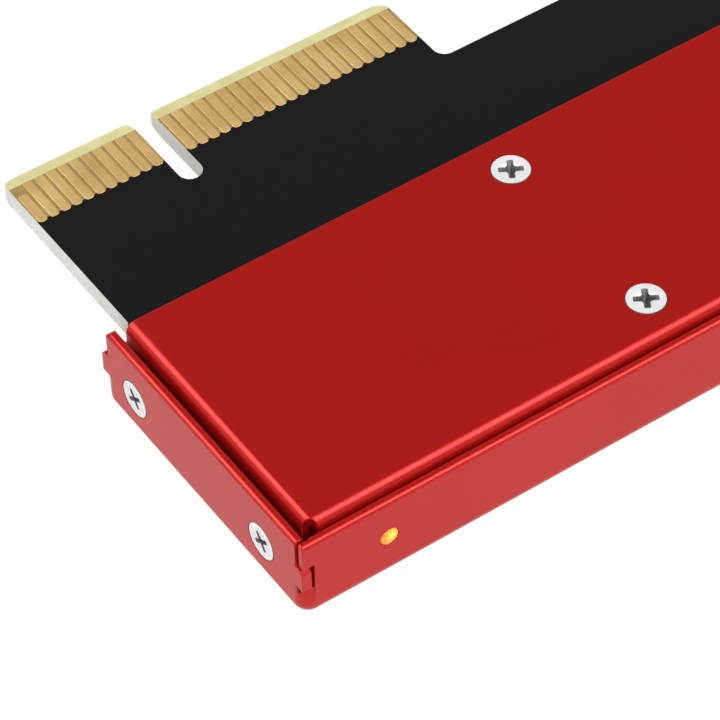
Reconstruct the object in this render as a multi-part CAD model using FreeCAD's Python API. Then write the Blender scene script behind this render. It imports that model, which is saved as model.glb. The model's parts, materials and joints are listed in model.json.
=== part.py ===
import FreeCAD, Part
import math
import os

# Drive adapter card: a slot card whose circuit board sits in a folded sheet-metal case.
#
# Millimetres. The origin is the centre of the tray's underside, on which the card rests.
# +X runs along the card, +Y points to the gold edge connector and +Z is up.
# The component side of the board faces down, into the tray.

Vector = FreeCAD.Vector
X_AXIS = Vector(1, 0, 0)
Y_AXIS = Vector(0, 1, 0)
Z_AXIS = Vector(0, 0, 1)

# ---------------------------------------------------------------- driving sizes
# Sheet metal
sheet = 0.8                    # thickness of both folded sheets
tray_bend = 1.2                # outer radius of the tray's folds and of its closed lower corners
cover_bend = 0.90              # outer bend radius of the cover
wall_edge_cut = 0.22           # broken top edges of the walls
end_gap = 0.55                 # between an end wall and the cover's end flange
front_gap = 0.30               # between the front wall and the cover's front flange
bay_side_space = 0.80          # from the drive to the front wall and to the rear wall
component_space = 4.15         # between the floor and the board
cover_space = 0.70             # between the board and the cover
cover_rise = 0.40              # how far the cover stands above the walls
front_flange_drop = 2.70       # height of the cover's front flange, outside
end_flange_clearance = 0.30    # between the end flanges and the floor
cover_setback = 0.50           # from the rear wall's inner face to the cover's plain edge
corner_relief_radius = 0.72    # round relief where two folds of the cover meet
relief_shift = 0.10            # how far the relief sits inside the folded corner

# Interlocking corner joints of the tray
tab_height = 2.05              # height of the tab that shows on the neighbouring face
tab_centre_height = 4.20       # height of its middle above the underside
tab_chamfer = 0.35             # cut upper corner of the tab
joint_gap = 0.24               # width of the upright seams
level_joint_gap = 0.15         # width of the level seams
joint_setback = 0.12           # from the tray's end to the front wall's end above the tab
seam_foot = 2.40               # where the upright seams end above the underside
rear_wall_clearance = 0.15     # between the rear wall and the board above it
end_wall_round = 0.45          # rounded top corner of an end wall beside the board

# Circuit board and its edge connector
board_thickness = 1.6
board_clearance = 0.15         # between the board's edges and the cover's flanges
exposed_depth = 17.65          # board outside the case, from the connector edge
shoulder_depth = 8.25          # from the connector edge to the board's edge beside it
contact_pitch = 1.0
contact_width = 0.76
contact_thickness = 0.04
contact_corner_cut = 0.22      # cut corners of a contact's inner end
contact_near = 1.30            # connector edge to a contact's outer end
contact_far = 5.60             # connector edge to a contact's inner end
short_contact_cut = 1.0        # how much shorter a presence contact is
first_contact = 0.50           # board's left edge to the first contact's centre
contacts_before_key = 11
contacts_after_key = 21
key_step = 3.0                 # centre distance across the key notch
key_width = 1.90
key_depth = 8.25
connector_margin = 0.65        # last contact's centre to the connector's right edge
connector_round = 1.10         # rounded outer corners of the connector
key_mouth_round = 0.60
shoulder_round = 1.0
bevel_length = 1.30            # bevel that leads the card into its slot
bevel_angle = 20.0
board_corner_round = 0.8
upper_short_contacts = (1,)
lower_short_contacts = (17, 31)

# Screws and standoffs
screw_radius = 0.80            # cover and end screws
screw_head_radius = 1.55
screw_head_sink = 0.04         # how far a head lies below the sheet's face
thread_clearance = 0.02
hole_clearance = 0.12          # between a screw's shank and the sheet
cover_screw_length = 4.0
end_screw_length = 3.0
recess_width = 0.42            # cross recess
recess_radius = 0.95
recess_depth = 0.45
cover_screw_from_left = 30.3   # board's left edge to the first pair of cover screws
cover_screw_from_right = 3.7   # board's right edge to the second pair
screw_row_inset = 3.80         # from the side of the drive bay to a row of screws
end_screw_height = 3.70
end_screw_shift = 0.40         # end screws' offset towards the connector
standoff_flats = 3.4           # across the flats of its hexagon
standoff_neck_radius = 1.15
standoff_foot_flats = 2.4      # hexagonal foot pressed into the floor
foot_recess = 0.10             # foot's end above the tray's underside
standoff_bore_depth = 4.2
press_clearance = 0.01
board_hole_clearance = 0.12

# Indicator
indicator_from_left = 4.90
indicator_height = 4.05
light_pipe_radius = 0.72
light_pipe_clearance = 0.04
light_pipe_stand = 0.10        # how far its end stands out of the wall
light_pipe_collar_radius = 1.10
light_pipe_collar = 0.40
light_pipe_gap = 0.05          # between the light pipe and the diode
indicator_size = (3.0, 1.05, 1.30)
indicator_terminal = 0.45
indicator_terminal_height = 0.90

# Drive socket, standoff and screw
drive_length = 80.0
drive_width = 22.0
drive_thickness = 0.80
drive_tip_from_left = 37.6     # board's left edge to the seated drive's contact edge
drive_end_margin = 8.4         # drive's fixing centre to the board's right edge
drive_gap = 0.85               # between the board and the drive
socket_length = 6.8
socket_side_inset = 0.05       # how much narrower the socket is than the drive, each side
socket_height = 2.30
socket_insertion = 2.3         # drive's contact edge to the socket's front
socket_slot_clearance = 0.06
socket_end_wall = 0.90         # wall at each end of the socket's slot
socket_lip = 0.55              # lead-in ahead of the slot
socket_wall = 1.2              # back wall behind the contact blades
socket_edge_cut = 0.20
socket_rib_root = 0.10         # how far the key rib runs into the moulding
socket_blade_setback = 0.20    # from the lead-in to the ends of the contact blades
socket_pitch = 0.50
socket_positions = 38          # places for contacts in one row
socket_key_first = 29          # first place taken by the key
socket_key_count = 4
socket_key_width = 1.0
socket_contact_width = 0.22
socket_contact_thickness = 0.15
socket_tail = 0.85
anchor_size = (1.4, 0.55, 0.9)
nut_radius = 2.2
nut_pilot_radius = 1.70
drive_screw_radius = 1.0
drive_screw_head_radius = 1.90
drive_screw_head_height = 0.70
drive_screw_length = 1.80
nut_hole_clearance = 0.10

# Insulation and heat pad
film_thickness = 0.20
film_margin = 0.60
film_end_space = 2.0           # from a film's end to the cover's end flange, past the end screws
pad_thickness = 1.0
pad_margin = 1.0
pad_start = 8.0                # drive's contact edge to the pad
pad_end_gap = 6.0              # pad to the drive's fixing centre
pad_window_clearance = 0.50

# Small components: length along X, width along Y, height off the board
solder_gap = 0.02
chip_capacitor = (0.55, 1.0, 0.50)
chip_resistor = (0.55, 1.0, 0.35)
bulk_capacitor = (1.6, 3.2, 1.60)
terminal_share_length = 0.25
terminal_skin = 0.02
regulator_size = (2.9, 1.65, 1.05)
memory_size = (4.9, 3.9, 1.45)
buffer_size = (4.0, 4.0, 0.85)
inductor_size = (4.2, 4.2, 2.0)
lead_thickness = 0.15
lead_width = 0.38
lead_reach = 0.70
lead_knees = (0.35, 0.55)      # shares of the reach where a lead's outer face bends
lead_inner_knees = (0.25, 0.45)
regulator_leads = (3, 0.95)      # leads along each side, and their pitch
memory_leads = (4, 1.27)
buffer_pads = (5, 0.65)
buffer_pad = 0.30
package_stand = 0.08           # between a leaded package and the board
package_bevel = 0.18
buffer_bevel = 0.06
inductor_bevel = 0.30
inductor_end_size = (2.1, 1.2) # width and height of a folded terminal
lane_capacitor_row = 2.2       # from the key notch's end
lane_capacitor_start = 3.5     # from the key notch's centre
lane_pitch = 5.0
lane_count = 4
lane_leg_pitch = 1.1

# Places on the board: from its left edge, and from the middle of the bay
regulator_at = (6.2, -2.2)
memory_at = (7.6, 6.6)
buffer_at = (20.6, 2.4)
inductor_at = (12.4, -6.4)
bulk_capacitor_start = (17.4, -7.2)
bulk_capacitor_pitch = 2.6
bulk_capacitor_count = 4
input_capacitor_start = (9.0, 1.0)
input_capacitor_count = 3
output_capacitor_start = (17.0, 9.2)
output_capacitor_count = 2
small_pitch = 2.0
pull_resistor_start = (2.6, -6.0)
pull_resistor_pitch = 1.6
pull_resistor_count = 2
series_resistor_at = (25.6, 3.0)
series_resistor_pitch = 2.4
series_resistor_count = 3
bias_resistor_at = (15.0, 9.2)

# ---------------------------------------------------------------- derived planes
side_stack = board_clearance + sheet + end_gap + sheet
bay_width = drive_width + 2 * bay_side_space
socket_width = drive_width - 2 * socket_side_inset
socket_slot_length = socket_width - 2 * socket_end_wall
board_length = drive_tip_from_left + drive_length + drive_end_margin
tray_length = board_length + 2 * side_stack
tray_width = bay_width + 2 * sheet
board_under = sheet + component_space
board_top = board_under + board_thickness
cover_under = board_top + cover_space
cover_top = cover_under + sheet
wall_top = cover_top - cover_rise
rear_wall_top = board_under - rear_wall_clearance

outer_x = tray_length / 2
inner_x = outer_x - sheet
outer_y = tray_width / 2
inner_y = outer_y - sheet
flange_x = inner_x - end_gap
flange_y = inner_y - front_gap
cover_rear = inner_y - cover_setback
board_left = -outer_x + side_stack
board_right = board_left + board_length
board_front = -flange_y + sheet + board_clearance
connector_edge = outer_y + exposed_depth
floor_top = sheet

tab_low = tab_centre_height - tab_height / 2
tab_high = tab_centre_height + tab_height / 2
screw_row = bay_width / 2 - screw_row_inset
screw_rows = (screw_row, -screw_row)
cover_screw_columns = (board_left + cover_screw_from_left, board_right - cover_screw_from_right)
drive_tip = board_left + drive_tip_from_left
drive_fixing = drive_tip + drive_length
socket_front = drive_tip + socket_insertion
socket_back = socket_front - socket_length
indicator_x = board_left + indicator_from_left
joint_foot = tab_low - level_joint_gap
tolerance = 1e-6


# ---------------------------------------------------------------- basic shapes
def block(x_range, y_range, z_range):
    """Return a box between the given limits."""
    size = [high - low for low, high in (x_range, y_range, z_range)]
    return Part.makeBox(*size, Vector(x_range[0], y_range[0], z_range[0]))


def centred_block(centre, size, z_range):
    """Return a box centred in plan."""
    x_range, y_range = [(mid - width / 2, mid + width / 2) for mid, width in zip(centre, size)]
    return block(x_range, y_range, z_range)


def rod(radius, start, end):
    """Return a cylinder between two points."""
    axis = end - start
    return Part.makeCylinder(radius, axis.Length, start, axis)


def upright(radius, x, y, low, high):
    """Return an upright cylinder."""
    return rod(radius, Vector(x, y, low), Vector(x, y, high))


def face_of(points):
    """Return the flat face bounded by straight lines through the points."""
    return Part.Face(Part.makePolygon(points + [points[0]]))


def fused(shapes):
    """Return one solid made of touching solids."""
    shapes = list(shapes)
    return shapes[0].multiFuse(shapes[1:]).removeSplitter()


def cut_all(shape, tools):
    """Return the shape less every tool."""
    for tool in tools:
        shape = shape.cut(tool)
    return shape


def bent_block(x_range, y_range, z_range, radius, keep):
    """Return a block on which the edges for which keep(edge) is true are rounded."""
    slab = block(x_range, y_range, z_range)
    return slab.makeFillet(radius, [edge for edge in slab.Edges if keep(edge)])


def is_upright(edge):
    """Tell whether an edge is straight and parallel to Z."""
    first, last = edge.Vertexes[0].Point, edge.Vertexes[-1].Point
    return abs(first.x - last.x) < tolerance and abs(first.y - last.y) < tolerance


def softened(shape, size, keep):
    """Chamfer the edges for which keep(edge) is true."""
    return shape.makeChamfer(size, [edge for edge in shape.Edges if keep(edge)])


def at_height(height):
    """Return a test for level edges at one height."""
    def keep(edge):
        return all(abs(vertex.Z - height) < tolerance for vertex in edge.Vertexes)
    return keep


def hexagon(flats, x, y, low, high):
    """Return an upright hexagonal bar with two flats parallel to X."""
    corners = []
    for index in range(6):
        angle = math.radians(60 * index)
        reach = flats / 2 / math.cos(math.radians(30))
        corners.append(Vector(x + reach * math.cos(angle), y + reach * math.sin(angle), low))
    return face_of(corners).extrude(Z_AXIS * (high - low))


def solids_of(shapes):
    """Return a group of separate solids."""
    return Part.makeCompound(list(shapes))


# ---------------------------------------------------------------- folded sheets
def folded_outside(edge):
    """Tell whether an edge of the tray's foot is one of its folds or upright corners."""
    return is_upright(edge) or at_height(0)(edge)


def tray_shell():
    """Return the tray with closed, rounded lower corners and square upper ones."""
    plan = ((-outer_x, outer_x), (-outer_y, outer_y))
    foot = bent_block(*plan, (0, joint_foot), tray_bend, folded_outside)
    walls = block(*plan, (joint_foot, wall_top))
    inner_plan = ((-inner_x, inner_x), (-inner_y, inner_y))
    inner_z = (floor_top, wall_top + sheet)
    inside = bent_block(*inner_plan, inner_z, tray_bend - sheet, at_height(floor_top))
    shell = foot.fuse(walls).cut(inside)
    return softened(shell, wall_edge_cut, at_height(wall_top))


def corner_joint(side_x, side_y, top):
    """Return the seams of one finger joint, where an end wall's tab passes through a long wall."""
    edge_x, edge_y = side_x * outer_x, side_y * outer_y
    into_x, into_y = -side_x, -side_y

    def slab(x_pair, y_pair, z_pair):
        x_range = sorted(edge_x + into_x * value for value in x_pair)
        y_range = sorted(edge_y + into_y * value for value in y_pair)
        return block(x_range, y_range, z_pair)

    corner_x = (-sheet, sheet + joint_gap)
    corner_y = (-sheet, sheet)
    end_seam = (sheet - joint_gap, sheet)
    front_seam = (sheet, sheet + joint_gap)
    seams = [
        slab(corner_x, end_seam, (seam_foot, tab_low)),
        slab(corner_x, corner_y, (joint_foot, tab_low)),
        slab(front_seam, corner_x, (tab_low, tab_high)),
        tab_corner_cut(edge_x, edge_y, into_x, into_y),
    ]
    if top > tab_high:
        seams.append(slab(corner_x, corner_y, (tab_high, tab_high + level_joint_gap)))
        seams.append(slab(corner_x, end_seam, (tab_high, top + sheet)))
        seams.append(slab((-sheet, joint_setback), corner_y, (tab_high, top + sheet)))
    return seams


def tab_corner_cut(edge_x, edge_y, into_x, into_y):
    """Return the prism that cuts the upper corner off a tab, seen from the end of the tray."""
    tip = edge_y - into_y * sheet
    back = edge_y + into_y * tab_chamfer
    start = edge_x - into_x * sheet
    points = [
        Vector(start, tip, tab_high + level_joint_gap),
        Vector(start, back, tab_high + level_joint_gap),
        Vector(start, back, tab_high),
        Vector(start, edge_y, tab_high - tab_chamfer),
        Vector(start, tip, tab_high - tab_chamfer),
    ]
    return face_of(points).extrude(X_AXIS * (into_x * (2 * sheet + joint_gap)))


def board_passage():
    """Return the space over the rear wall through which the board leaves the tray."""
    high = wall_top + sheet
    over_wall = block((-inner_x, inner_x), (inner_y - sheet / 2, outer_y + sheet), (rear_wall_top, high))
    beside_tabs = block((-outer_x - sheet, outer_x + sheet), (inner_y, outer_y + sheet), (tab_high, high))
    corners = []
    for side in (-1, 1):
        x_range = sorted((side * (inner_x - sheet), side * (outer_x + sheet)))
        square = block(x_range, (inner_y - end_wall_round, inner_y), (wall_top - end_wall_round, high))
        start = Vector(x_range[0] - sheet, inner_y - end_wall_round, wall_top - end_wall_round)
        corners.append(square.cut(rod(end_wall_round, start, start + X_AXIS * (4 * sheet + outer_x))))
    return [over_wall, beside_tabs] + corners


def sunk_hole(centre, inward):
    """Return the tool that cuts a countersunk screw hole, its mouth on the sheet's outer face."""
    mouth = screw_head_radius + screw_head_sink
    throat = screw_radius + hole_clearance
    cone = Part.makeCone(mouth, throat, mouth - throat, centre, inward)
    return fused([cone, rod(throat, centre, centre + inward * (2 * sheet))])


def end_screw_places():
    """Return the outer centre and inward direction of each end screw."""
    return [(Vector(-outer_x, row + end_screw_shift, end_screw_height), X_AXIS) for row in screw_rows]


def cover_screw_places():
    """Return the outer centre and inward direction of each cover screw."""
    return [(Vector(x, y, cover_top), Z_AXIS * -1) for x in cover_screw_columns for y in screw_rows]


def lower_tray():
    """Build the folded tray: floor, two end walls, the front wall and the low rear wall."""
    tools = board_passage()
    for side_x in (-1, 1):
        tools += corner_joint(side_x, -1, wall_top)
        tools += corner_joint(side_x, 1, rear_wall_top)
    tools += [sunk_hole(centre, inward) for centre, inward in end_screw_places()]
    pipe_hole = light_pipe_radius + light_pipe_clearance
    hole_start = Vector(indicator_x, -outer_y - sheet, indicator_height)
    tools.append(rod(pipe_hole, hole_start, hole_start + Y_AXIS * (3 * sheet)))
    foot_hole = standoff_foot_flats + 2 * press_clearance
    tools += [hexagon(foot_hole, x, y, -sheet, 2 * sheet) for x in cover_screw_columns for y in screw_rows]
    return cut_all(tray_shell(), tools)


def folded_plate(half_x, y_range, z_range, radius):
    """Return a block whose upper edges are bent round along its front and both ends."""
    front, rear = y_range

    def keep(edge):
        return at_height(z_range[1])(edge) and edge.CenterOfMass.y < rear - tolerance

    return bent_block((-half_x, half_x), y_range, z_range, radius, keep)


def fold_relief(side):
    """Return the tools that part the front flange from one end flange of the cover."""
    x = side * (flange_x - relief_shift)
    y = relief_shift - flange_y
    x_range = sorted((side * outer_x, side * (flange_x - relief_shift - corner_relief_radius)))
    y_range = (-outer_y, y + corner_relief_radius)
    hole = upright(corner_relief_radius, x, y, 0, cover_top + sheet)
    return [hole, block(x_range, y_range, (0, cover_top - cover_bend))]


def top_cover():
    """Build the cover: a plate with a front flange and two deep end flanges folded down."""
    end_low = floor_top + end_flange_clearance
    front_low = cover_top - front_flange_drop
    outside = folded_plate(flange_x, (-flange_y, cover_rear), (end_low, cover_top), cover_bend)
    inside_y = (sheet - flange_y, outer_y)
    inside = folded_plate(flange_x - sheet, inside_y, (end_low, cover_under), cover_bend - sheet)
    tools = [inside, block((-outer_x, outer_x), (-outer_y, sheet - flange_y), (0, front_low))]
    for side in (-1, 1):
        tools += fold_relief(side)
    tools += [sunk_hole(centre, inward) for centre, inward in cover_screw_places()]
    for centre, inward in end_screw_places():
        tools.append(rod(screw_radius + thread_clearance, centre, centre + inward * (5 * sheet)))
    return cut_all(outside, tools)


# ---------------------------------------------------------------- circuit board
def contact_numbers():
    """Return every contact's number and the X of its centre."""
    places = []
    for index in range(contacts_before_key + contacts_after_key):
        past_key = index >= contacts_before_key
        extra = key_step - contact_pitch if past_key else 0
        places.append((index + 1, board_left + first_contact + index * contact_pitch + extra))
    return places


def connector_right():
    """Return the X of the edge connector's right-hand edge."""
    return contact_numbers()[-1][1] + connector_margin


def key_centre():
    """Return the X of the key notch's centre."""
    return contact_numbers()[contacts_before_key - 1][1] + key_step / 2


def rounded_corner_cut(x, y, into_x, into_y, radius, z_range):
    """Return the spandrel that rounds an outer corner of the board in plan."""
    x_range = sorted((x, x + into_x * radius))
    y_range = sorted((y, y + into_y * radius))
    centre = (x + into_x * radius, y + into_y * radius)
    return block(x_range, y_range, z_range).cut(upright(radius, *centre, *z_range))


def board_blank():
    """Return the board's outline with its edge connector, key notch and rounded corners."""
    z_range = (board_under, board_top)
    shoulder = connector_edge - shoulder_depth
    right = connector_right()
    body = block((board_left, board_right), (board_front, shoulder), z_range)
    tongue = block((board_left, right), (shoulder - shoulder_round, connector_edge), z_range)
    blank = fused([body, tongue])
    web = block((right, right + shoulder_round), (shoulder, shoulder + shoulder_round), z_range)
    web = web.cut(upright(shoulder_round, right + shoulder_round, shoulder + shoulder_round, *z_range))
    blank = fused([blank, web])
    key_x = key_centre()
    half_key = key_width / 2
    key_end = connector_edge - key_depth + half_key
    tall = (board_under - sheet, board_top + sheet)
    tools = [
        block((key_x - half_key, key_x + half_key), (key_end, connector_edge + sheet), tall),
        upright(half_key, key_x, key_end, *tall),
        rounded_corner_cut(board_left, connector_edge, 1, -1, connector_round, tall),
        rounded_corner_cut(right, connector_edge, -1, -1, connector_round, tall),
        rounded_corner_cut(key_x - half_key, connector_edge, -1, -1, key_mouth_round, tall),
        rounded_corner_cut(key_x + half_key, connector_edge, 1, -1, key_mouth_round, tall),
        rounded_corner_cut(board_right, shoulder, -1, -1, board_corner_round, tall),
        rounded_corner_cut(board_right, board_front, -1, 1, board_corner_round, tall),
        rounded_corner_cut(board_left, board_front, 1, 1, board_corner_round, tall),
    ]
    return cut_all(blank, tools)


def bevel_cuts():
    """Return the two wedges that bevel the connector's edge."""
    drop = bevel_length * math.tan(math.radians(bevel_angle))
    cuts = []
    for level, inward in ((board_top, -1), (board_under, 1)):
        points = [
            Vector(board_left - sheet, connector_edge - bevel_length, level),
            Vector(board_left - sheet, connector_edge, level + inward * drop),
            Vector(board_left - sheet, connector_edge + sheet, level + inward * drop),
            Vector(board_left - sheet, connector_edge + sheet, level - inward * sheet),
            Vector(board_left - sheet, connector_edge - bevel_length, level - inward * sheet),
        ]
        length = connector_right() - board_left + 2 * sheet
        cuts.append(face_of(points).extrude(X_AXIS * length))
    return cuts


def circuit_board():
    """Build the board with the holes for its standoffs and for the drive's nut."""
    tools = bevel_cuts()
    neck_hole = standoff_neck_radius + board_hole_clearance
    tools += [upright(neck_hole, x, y, 0, cover_top) for x in cover_screw_columns for y in screw_rows]
    nut_hole = nut_pilot_radius + nut_hole_clearance
    tools.append(upright(nut_hole, drive_fixing, 0, 0, cover_top))
    return cut_all(board_blank(), tools)


def edge_contacts(short_numbers, z_range):
    """Build one face's row of gold contacts, with cut inner corners and short presence contacts."""
    contacts = []
    half = contact_width / 2
    low, high = z_range
    inner = connector_edge - contact_far
    for number, x in contact_numbers():
        outer = connector_edge - contact_near - (short_contact_cut if number in short_numbers else 0)
        outline = [
            Vector(x - half, outer, low),
            Vector(x - half, inner + contact_corner_cut, low),
            Vector(x - half + contact_corner_cut, inner, low),
            Vector(x + half - contact_corner_cut, inner, low),
            Vector(x + half, inner + contact_corner_cut, low),
            Vector(x + half, outer, low),
        ]
        contacts.append(face_of(outline).extrude(Z_AXIS * (high - low)))
    return solids_of(contacts)


# ---------------------------------------------------------------- screws and standoffs
def cross_recess(centre, inward):
    """Return the tool for a cross recess."""
    arm = centred_block((0, 0), (2 * recess_radius, recess_width), (0, recess_depth))
    other = arm.copy()
    other.rotate(Vector(0, 0, 0), Z_AXIS, 90)
    cross = fused([arm, other])
    cross.Placement = FreeCAD.Placement(centre, FreeCAD.Rotation(Z_AXIS, inward))
    return cross


def flush_screw(centre, inward, length):
    """Build a flush-head screw seated in its countersink."""
    top = centre + inward * screw_head_sink
    cone_height = screw_head_radius - screw_radius
    head = Part.makeCone(screw_head_radius, screw_radius, cone_height, top, inward)
    body = fused([head, rod(screw_radius, top, top + inward * length)])
    return body.cut(cross_recess(top, inward))


def board_standoff(x, y):
    """Build one tapped standoff, pressed into the floor and stepped to carry the board."""
    body = fused([
        hexagon(standoff_foot_flats, x, y, foot_recess, floor_top),
        hexagon(standoff_flats, x, y, floor_top, board_under),
        upright(standoff_neck_radius, x, y, board_under, cover_under),
    ])
    bore = upright(screw_radius + thread_clearance, x, y, cover_under - standoff_bore_depth, cover_top)
    return body.cut(bore)


def drive_nut():
    """Build the nut that is soldered to the board where the drive's far end is held."""
    low = board_under - drive_gap
    body = fused([
        upright(nut_radius, drive_fixing, 0, low, board_under),
        upright(nut_pilot_radius, drive_fixing, 0, board_under, board_top),
    ])
    return body.cut(upright(drive_screw_radius + thread_clearance, drive_fixing, 0, 0, cover_top))


def drive_screw():
    """Build the low-head screw that holds the drive, turned home in its nut."""
    seat = board_under - drive_gap
    low = seat - drive_screw_head_height
    head = upright(drive_screw_head_radius, drive_fixing, 0, low, seat)
    body = fused([head, upright(drive_screw_radius, drive_fixing, 0, low, seat + drive_screw_length)])
    centre = Vector(drive_fixing, 0, low)
    return body.cut(cross_recess(centre, Z_AXIS))


# ---------------------------------------------------------------- indicator
def light_pipe():
    """Build the light pipe with the collar that rests against the front wall."""
    face = -outer_y
    back = board_front - light_pipe_gap
    centre = Vector(indicator_x, 0, indicator_height)
    start = centre + Y_AXIS * (face - light_pipe_stand)
    collar_start = centre - Y_AXIS * inner_y
    return fused([
        rod(light_pipe_radius, start, centre + Y_AXIS * back),
        rod(light_pipe_collar_radius, collar_start, collar_start + Y_AXIS * light_pipe_collar),
    ])


def indicator_span():
    """Return the side-view diode's Y limits."""
    return board_front, board_front + indicator_size[1]


def indicator_body():
    """Build the side-view diode's body on the board's underside."""
    half = indicator_size[0] / 2 - indicator_terminal
    z_range = (board_under - indicator_size[2], board_under)
    return block((indicator_x - half, indicator_x + half), indicator_span(), z_range)


def indicator_terminals():
    """Build the diode's two soldered ends."""
    outer = indicator_size[0] / 2
    z_range = (board_under - indicator_terminal_height, board_under)
    ends = []
    for side in (-1, 1):
        x_range = sorted(indicator_x + side * reach for reach in (outer - indicator_terminal, outer))
        ends.append(block(x_range, indicator_span(), z_range))
    return solids_of(ends)


# ---------------------------------------------------------------- drive socket
def slot_heights():
    """Return the Z limits of the slot that takes the drive's contact edge."""
    top = board_under - drive_gap + socket_slot_clearance
    return top - drive_thickness - 2 * socket_slot_clearance, top


def socket_columns():
    """Return the Y of every contact place in one row, less those taken by the key."""
    start = -socket_pitch * (socket_positions - 1) / 2
    taken = range(socket_key_first, socket_key_first + socket_key_count)
    return [start + index * socket_pitch for index in range(socket_positions) if index not in taken]


def socket_key_centre():
    """Return the Y of the key rib's centre."""
    start = -socket_pitch * (socket_positions - 1) / 2
    return start + (socket_key_first + (socket_key_count - 1) / 2) * socket_pitch


def socket_housing():
    """Build the socket's moulding: slot with lead-in, key rib and the chamber for the contacts."""
    low, high = slot_heights()
    half = socket_width / 2
    bottom = board_under - socket_height
    body = block((socket_back, socket_front), (-half, half), (bottom, board_under))
    body = softened(body, socket_edge_cut, at_height(bottom))
    depth = socket_insertion + socket_contact_thickness
    slot_back = socket_front - depth
    half_slot = socket_slot_length / 2
    slot = block((slot_back, socket_front + sheet), (-half_slot, half_slot), (low, high))
    key_y = socket_key_centre()
    rib_low, rib_high = key_y - socket_key_width / 2, key_y + socket_key_width / 2
    rib_z = (low - socket_rib_root, high + socket_rib_root)
    rib = block((slot_back, socket_front - socket_lip), (rib_low, rib_high), rib_z)
    lip = [
        Vector(socket_front - socket_lip, -half_slot, low),
        Vector(socket_front, -half_slot, low - socket_lip / 2),
        Vector(socket_front, -half_slot, high + socket_lip / 2),
        Vector(socket_front - socket_lip, -half_slot, high),
    ]
    lead_in = face_of(lip).extrude(Y_AXIS * socket_slot_length)
    body = body.cut(slot.cut(rib)).cut(lead_in)
    room = socket_contact_thickness + 2 * solder_gap
    chamber_x = (socket_back + socket_wall, socket_front - socket_lip)
    chamber = block(chamber_x, (-half_slot, half_slot), (low - room, high + room))
    rib_root = block((slot_back, socket_front), (rib_low, rib_high), (0, board_under))
    return body.cut(chamber.cut(rib_root))


def socket_contacts(upper):
    """Build one row of socket contacts, each a spring blade with a solder tail."""
    low, high = slot_heights()
    thickness = socket_contact_thickness
    blade_front = socket_front - socket_lip - socket_blade_setback
    blade_back = socket_back + socket_wall
    contacts = []
    for y in socket_columns():
        y_range = (y - socket_contact_width / 2, y + socket_contact_width / 2)
        if upper:
            z_range = (high + solder_gap, high + solder_gap + thickness)
        else:
            z_range = (low - solder_gap - thickness, low - solder_gap)
        contacts.append(block((blade_back, blade_front), y_range, z_range))
    return solids_of(contacts)


def socket_tails():
    """Build the solder tails, which stand on the board behind the socket."""
    x_range = (socket_back - socket_tail, socket_back)
    z_range = (board_under - socket_contact_thickness, board_under)
    tails = []
    for y in socket_columns():
        y_range = (y - socket_contact_width / 2, y + socket_contact_width / 2)
        tails.append(block(x_range, y_range, z_range))
    return solids_of(tails)


def socket_anchors():
    """Build the two metal ears that hold the socket's ends to the board."""
    length, width, height = anchor_size
    ears = []
    for side in (-1, 1):
        y_range = sorted((side * socket_width / 2, side * (socket_width / 2 + width)))
        middle = (socket_front + socket_back) / 2
        x_range = (middle - length / 2, middle + length / 2)
        foot = block(x_range, y_range, (board_under - socket_contact_thickness, board_under))
        wall = sorted((side * socket_width / 2, side * (socket_width / 2 + socket_contact_thickness)))
        ears.append(fused([foot, block(x_range, wall, (board_under - height, board_under))]))
    return solids_of(ears)


# ---------------------------------------------------------------- insulation
def pad_limits():
    """Return the heat pad's plan limits."""
    half = drive_width / 2 - pad_margin
    return (drive_tip + pad_start, drive_fixing - pad_end_gap), (-half, half)


def film_cutout(x, y):
    """Return the square cut-out that clears a standoff."""
    size = standoff_flats + 2 * film_margin
    return centred_block((x, y), (size, size), (0, cover_top))


def heat_pad():
    """Build the soft pad that carries the drive's heat to the tray's floor."""
    x_range, y_range = pad_limits()
    return block(x_range, y_range, (floor_top, floor_top + pad_thickness))


def floor_film():
    """Build the insulating film on the floor, open where the heat pad and standoffs stand."""
    half_x = flange_x - sheet - film_end_space
    half_y = inner_y - film_margin
    z_range = (floor_top, floor_top + film_thickness)
    film = block((-half_x, half_x), (-half_y, half_y), z_range)
    x_range, y_range = pad_limits()
    window_x = (x_range[0] - pad_window_clearance, x_range[1] + pad_window_clearance)
    window_y = (y_range[0] - pad_window_clearance, y_range[1] + pad_window_clearance)
    tools = [block(window_x, window_y, (0, cover_top))]
    for x in cover_screw_columns:
        for y in screw_rows:
            tools.append(film_cutout(x, y))
    return cut_all(film, tools)


def cover_film():
    """Build the insulating film on the underside of the cover."""
    half_x = flange_x - sheet - film_margin
    front = sheet - flange_y + film_margin
    z_range = (cover_under - film_thickness, cover_under)
    film = block((-half_x, half_x), (front, cover_rear - film_margin), z_range)
    return cut_all(film, [film_cutout(x, y) for x in cover_screw_columns for y in screw_rows])


# ---------------------------------------------------------------- small components
def board_place(place, along=0.0, across=0.0):
    """Return a place on the board, moved along X and Y by the given steps."""
    from_left, from_middle = place
    return board_left + from_left + along, from_middle + across


def chip_bodies(places, size):
    """Build the ceramic bodies of two-ended chips that lie along Y."""
    length, width, height = size
    core = width - 2 * width * terminal_share_length
    z_range = (board_under - height, board_under - solder_gap)
    return solids_of(centred_block(place, (length, core), z_range) for place in places)


def chip_ends(places, size):
    """Build the metal ends of two-ended chips that lie along Y."""
    length, width, height = size
    end = width * terminal_share_length
    ends = []
    for x, y in places:
        for side in (-1, 1):
            centre = (x, y + side * (width - end) / 2)
            z_range = (board_under - height - terminal_skin, board_under)
            ends.append(centred_block(centre, (length + 2 * terminal_skin, end), z_range))
    return solids_of(ends)


def moulded_body(place, size, stand, bevel):
    """Build a moulded package held a little off the board by its leads."""
    low = board_under - size[2]
    body = centred_block(place, size[:2], (low, board_under - stand))
    return softened(body, bevel, at_height(low))


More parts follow.
